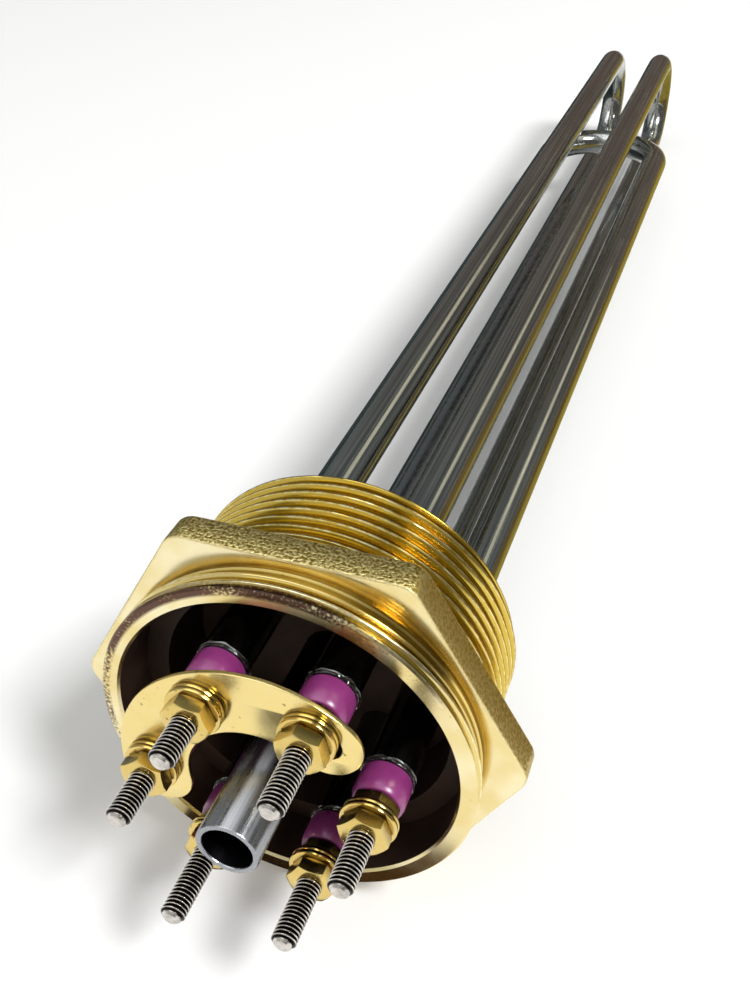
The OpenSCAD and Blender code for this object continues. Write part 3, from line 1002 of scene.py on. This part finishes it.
def nut(height):
    """A hexagon nut with its front face at 0, corners turned off on both faces."""
    bore, face_r = STUD_R - NUT_BORE_IN, NUT_FACE * NUT_FLAT_R
    shape = bmesh.new()
    rows = []
    for step in range(NUT_STEPS):
        turn = math.tau * step / NUT_STEPS
        out = NUT_FLAT_R / math.cos(turn % (2 * HALF_SIDE) - HALF_SIDE)
        drop = (out - face_r) * math.tan(HALF_SIDE)
        profile = two_faced([(bore, BORE_BACK), (bore + BORE_OUT, 0), (face_r, 0), (out, drop)], height)
        rows.append([shape.verts.new((r * math.cos(turn), y, r * math.sin(turn))) for r, y in profile])
    skin(shape, zip(rows, rows[1:] + rows[:1]))
    mesh = to_mesh(shape, "nut")

    # Bores and back faces get painted shade with some grime.
    def unshaded_share(point):
        if point.xz.length < bore + NEAR:
            return 0
        return 1 if point.y < height / 2 else NUT_BACK_UNSHADED

    mark_crests(mesh, unshaded_share)
    return mesh


piece("base_nut_set", on_studs(nut(BASE_NUT_H), [BASE_FRONT] * 6, NUT_TURN), "brass_fasteners", "base_nuts")
piece("terminal_nut_set", on_studs(nut(NUT_H), NUT_FRONTS, [-turn for turn in NUT_TURN]),
      "brass_fasteners", "terminal_nuts")

# %% [markdown]
# ## Washers
# A washer is punched, so its edges are a little round. It is turned from a looped profile, and each stud
# gets two of them, one on the other, under its nut.

# %% Washers
WASHER_R, WASHER_EDGE, WASHER_CLEAR = 4.5, 0.18, 0.15
WASHER_BACK_UNSHADED = 0.25
WASHER_STEPS = 72


def washer():
    """A flat washer with its front face at 0 and slightly rounded edges."""
    bore = STUD_R + WASHER_CLEAR
    profile = two_faced([
        (bore, WASHER_EDGE), (bore + WASHER_EDGE, 0), (WASHER_R - 2 * WASHER_EDGE, 0),
        (WASHER_R - 0.5 * WASHER_EDGE, 0.4 * WASHER_EDGE), (WASHER_R, 1.5 * WASHER_EDGE)], WASHER_T)
    mesh = to_mesh(lathe(bmesh.new(), profile, steps=WASHER_STEPS, loop=True), "washer")

    def unshaded_share(point):
        return 1 if point.y < WASHER_T / 2 and point.xz.length > bore + NEAR else WASHER_BACK_UNSHADED

    mark_crests(mesh, unshaded_share)
    return mesh


for level, name in ((1, "inner"), (2, "outer")):
    heights = [seat - level * WASHER_T for seat in SEATS]
    piece(f"{name}_washer_set", on_studs(washer(), heights, [0] * 6), "brass_fasteners", f"{name}_washers")

# %% [markdown]
# ## Link plate
# A thin brass plate joins three terminals. It was punched from sheet, so its outline is a flat curve:
# the band along the circle of studs with round ends, a round hole and two slots. A filled curve with a
# little depth and bevel gives the sheet its rolled-over edge.

# %% Link plate outline
PLATE_W, SLOT_W, SLOT_RUN = 11.5, 5.2, 2.7
ARC_STEPS = 40


def arc(centre, radius, start, stop):
    """Points of an arc in the plane of the plate, angles in degrees from +X towards +Z."""
    turns = [math.radians(start + (stop - start) * step / ARC_STEPS) for step in range(ARC_STEPS)]
    return [(centre[0] + radius * math.cos(turn), centre[1] + radius * math.sin(turn)) for turn in turns]


def on_circle(angle):
    """Point on the circle of studs."""
    return LEG_R * math.cos(math.radians(angle)), LEG_R * math.sin(math.radians(angle))


def band(width, start, stop):
    """Outline of a band along the circle of studs, with half-round ends."""
    half = width / 2
    return (arc((0, 0), LEG_R + half, start, stop) + arc(on_circle(stop), half, stop, stop + 180)
            + arc((0, 0), LEG_R - half, stop, start) + arc(on_circle(start), half, start + 180, start + 360))


RUN = math.degrees(SLOT_RUN / LEG_R)
FIRST, MIDDLE, LAST = (60 * (number - 1) for number in LINKED)
OUTLINES = [band(PLATE_W, FIRST - RUN, LAST + RUN), band(SLOT_W, FIRST - RUN, FIRST),
            band(SLOT_W, LAST, LAST + RUN), arc(on_circle(MIDDLE), SLOT_W / 2, 0, 360)]
print("plate outline with", len(OUTLINES) - 1, "holes")

# %% Link plate
PLATE_EDGE = 0.14


def link_plate():
    """Filled outline with its holes, as thick as the sheet."""
    sheet = bpy.data.curves.new("sheet", "CURVE")
    sheet.dimensions, sheet.fill_mode = "2D", "BOTH"
    sheet.bevel_depth, sheet.bevel_resolution = PLATE_EDGE, 2
    sheet.offset, sheet.extrude = -PLATE_EDGE, PLATE_T / 2 - PLATE_EDGE
    for outline in OUTLINES:
        spline = sheet.splines.new("POLY")
        spline.points.add(len(outline) - 1)
        spline.use_cyclic_u = True
        for point, (x, z) in zip(spline.points, outline):
            point.co = (x, z, 0, 1)
    shape = bmesh.new()
    shape.from_mesh(taken(host("sheet", sheet)))
    bmesh.ops.remove_doubles(shape, verts=shape.verts, dist=SAME_POINT)
    place = Matrix.Translation((0, (PLATE_LOW.y + PLATE_HIGH.y) / 2, 0)) @ Matrix.Rotation(QUARTER, 4, "X")
    bmesh.ops.transform(shape, matrix=place, verts=shape.verts)
    mesh = to_mesh(shape, "link_plate", BRASS_SHEET)
    mark_crests(mesh, lambda point: 1)
    return mesh


piece("brass_link", link_plate(), "brass_sheet", "link_plate")

# %% [markdown]
# ## What is inside the tubes
# Packed magnesia and the coiled wire can't be seen, but a cut or exploded view would show them, so they
# keep their solids and get a finish of their own.

# %% Magnesia and wire
# Magnesia powder pressed hard: matt off-white with a fine grain.
MAGNESIA = mottled("magnesia_packed", 0.4, 4.0, ("#DAD6CB", "#F1EEE6"), (0.8, 0.95), Specular_IOR_Level=0.2)
# Drawn nickel chrome wire: a dull grey metal.
WIRE = steel_drawn("nickel_chrome_wire", "#57534F", "#7A756F", "#57534F", 0.3, 0.5)
for side in ELEMENTS:
    for kind, coat in (("magnesia", MAGNESIA), ("coil", WIRE)):
        mesh = frame["nodes"][f"{side}_{kind}"].data
        mesh.materials.clear()
        mesh.materials.append(coat)
print("finished", MAGNESIA.name, "and", WIRE.name)

# %% [markdown]
# ## Floor
# The heater rests on the back edge of its hexagon and on the bends of the two long tubes, so the floor
# leans a little against the heater's axis and touches both. It is a pale floor that keeps its shadow:
# for the camera and for reflections it also glows a little, and that lifts it to white without putting
# more light on the brass.

# %% Floor
FLOOR_SIZE = 9000
FLOOR_GLOW = 0.12
BEND = box_mm("left_sheath")[1]
REST = Vector((BEND.y - BEND.z, FLAT_R))
LEAN = math.atan2(REST.y, REST.x) - math.asin(BEND.z / REST.length)
TILT = Matrix.Translation((0, 0, -FLAT_R)) @ Matrix.Rotation(LEAN, 4, "X")


def floor_finish():
    """Matt white paint, lifted for camera, glossy and transmission rays."""
    material = mottled("floor_matt_white", 300, 2.0, ("#EFEFEF", "#F2F2F2"), Specular_IOR_Level=0.0,
                       Roughness=0.9, Emission_Color=(1, 1, 1, 1))
    tree = material.node_tree
    ray = node(tree, "ShaderNodeLightPath").outputs
    seen = ray["Is Camera Ray"]
    for other in ("Is Glossy Ray", "Is Transmission Ray"):
        seen = node(tree, MATH, {0: seen, 1: ray[other]}, operation="MAXIMUM")
    glow = node(tree, MATH, {0: seen, 1: FLOOR_GLOW}, operation="MULTIPLY")
    feed(tree.nodes["Principled BSDF"], {"Emission Strength": glow})
    return material


def flat_sheet(name, across, along, lift, material):
    """A flat sheet on the leaning floor, between two places across and along, raised by a little."""
    shape = bmesh.new()
    bmesh.ops.create_grid(shape, size=0.5)
    spread = Matrix.Diagonal((across[1] - across[0], along[1] - along[0], 1, 1))
    middle = Matrix.Translation((sum(across) / 2, sum(along) / 2, lift))
    bmesh.ops.transform(shape, matrix=TILT @ middle @ spread, verts=shape.verts)
    made = host(name, to_mesh(shape, name, material))
    return made


flat_sheet("floor", (-FLOOR_SIZE, FLOOR_SIZE), (-FLOOR_SIZE, FLOOR_SIZE), 0, floor_finish())
print("floor leans", round(math.degrees(LEAN), 2), "degrees")

# %% [markdown]
# ## Cards for the reflections
# Polished tube shows little but its surroundings. In a studio, dark and coloured cards stand beside such
# a piece to draw its edges. These cards lie flat beside the tubes and in front of the plug, and are seen
# in reflections only: they throw no shadow, light nothing and stay hidden from the camera, so the floor
# looks plain. The brown card in front of the plug is a painted shadow: it stands for the plug's own shadow
# on the floor, as the rim's lower edge reflects it.

# %% Cards
CARD_LIFT = 0.4
CARDS = {
    "card_left": ((-1500, -14), (40, 2500), "#2E3638", "#4A5254"),
    "card_right_near": ((20, 70), (40, 2500), "#9C8A34", "#B8A450"),
    "card_right_far": ((70, 1500), (40, 2500), "#6A5836", "#8A734A"),
    # A painted shadow: the plug's own shadow on the floor, as the rim reflects it.
    "card_front": ((-24, 25), (-27, -12), "#33251A", "#4A3623"),
}
for name, (across, along, dark, light) in CARDS.items():
    # Felt-covered board: matt and mottled.
    felt = mottled(f"{name}_felt", 120, 3.0, (dark, light), Specular_IOR_Level=0.0, Roughness=0.95)
    card = flat_sheet(name, across, along, CARD_LIFT, felt)
    card.visible_camera = card.visible_diffuse = card.visible_transmission = card.visible_shadow = False
print("cards", ", ".join(CARDS))

# %% [markdown]
# ## Lamps
# One soft box stands high on the right and gives nearly all the light, so the shadow falls to the left. A
# weak one in front on the left keeps the terminals readable. A panel above shows only in reflections,
# where it pales the faces that look up, and a long strip beside the far end draws the pale line along
# each tube.

# %% Lamps
AIM = (0, 60, 0)


def lamp(name, place, size, watts, tint="#FFFFFF"):
    """A soft box at a place in millimetres that looks at the heater."""
    light = bpy.data.lights.new(name, "AREA")
    light.shape, light.size, light.size_y = "RECTANGLE", size[0] * MM, size[1] * MM
    light.energy, light.color = watts, colour(tint)[:3]
    made = host(name, light)
    made.location = Vector(place) * MM
    made.rotation_euler = (Vector(AIM) - Vector(place)).to_track_quat("-Z", "Y").to_euler()
    print(f"{name}: {watts} W")
    return made


lamp("key", (1500, -550, 1950), (640, 640), 57.5)
lamp("fill", (-450, -450, 1400), (900, 900), 1.6)
panel = lamp("top_panel", (-350, -200, 1100), (1100, 1300), 5.5)
panel.rotation_euler = (0, 0, 0)
panel.visible_diffuse = False
strip = lamp("back_strip", (530, 1140, 820), (280, 1800), 1.5, "#F4ECCB")
strip.rotation_euler = (0, math.radians(33), 0)

# %% [markdown]
# ## The room
# Polished metal shows the whole room, so its walls matter as much as the lamps. They are grey, a little
# browner at the far end, pale in front, and darker at the front right. The direction in which a ray
# leaves the scene picks the wall, with soft borders between them.

# %% Room
world = bpy.context.scene.world or bpy.data.worlds.new("studio")
bpy.context.scene.world = world
world.use_nodes = True
room = world.node_tree
leaving = node(room, "ShaderNodeTexCoord").outputs["Generated"]
way = node(room, "ShaderNodeSeparateXYZ", {0: leaving}).outputs
front, behind, aside = (
    node(room, RANGE, {"Value": way[axis], "From Min": start, "From Max": stop})
    for axis, start, stop in (("Y", 0.5, -0.35), ("Y", 0.74, 0.95), ("X", 0.05, 0.45)))
end_wall, front_wall = (
    node(room, MIX, {"Factor": mask, "A": colour(near), "B": colour(far)}, data_type="RGBA")
    for mask, near, far in ((behind, "#6E7474", "#6E6259"), (aside, "#D8D8D7", "#66625E")))
walls = node(room, MIX, {"Factor": front, "A": end_wall, "B": front_wall}, data_type="RGBA")
feed(room.nodes["Background"], {"Color": walls})
print("room with", len(room.nodes), "nodes")

# %% [markdown]
# ## Camera
# The camera was found by fitting a pinhole to the rims, the hexagon and the tubes: it stands in front of
# the terminals, above and to the right, and looks down the elements.

# %% Camera
CAMERA_PLACE = Vector((54.08, -119.85, 135.56))
YAW, PITCH, ROLL = (math.radians(angle) for angle in (19.533, 36.166, -0.388))
FOCAL_PX, FRAME_PX, SENSOR = 1136.2, 1000, 36
CLIP = 5

look = Vector((-math.sin(YAW) * math.cos(PITCH), math.cos(YAW) * math.cos(PITCH), -math.sin(PITCH)))
right = Vector((math.cos(YAW), math.sin(YAW), 0))
up = right.cross(look)
right, up = (math.cos(ROLL) * right + math.sin(ROLL) * up, math.cos(ROLL) * up - math.sin(ROLL) * right)
lens = bpy.data.cameras.new("camera")
lens.sensor_width = SENSOR
lens.lens = SENSOR * FOCAL_PX / FRAME_PX
lens.clip_start = CLIP * MM
camera = host("camera", lens)
facing = Matrix((right, up, -look)).transposed().to_4x4()
camera.matrix_world = Matrix.Translation(CAMERA_PLACE * MM) @ facing
bpy.context.scene.camera = camera
bpy.context.scene.view_settings.view_transform = "Standard"
print("lens", round(lens.lens, 2), "mm")
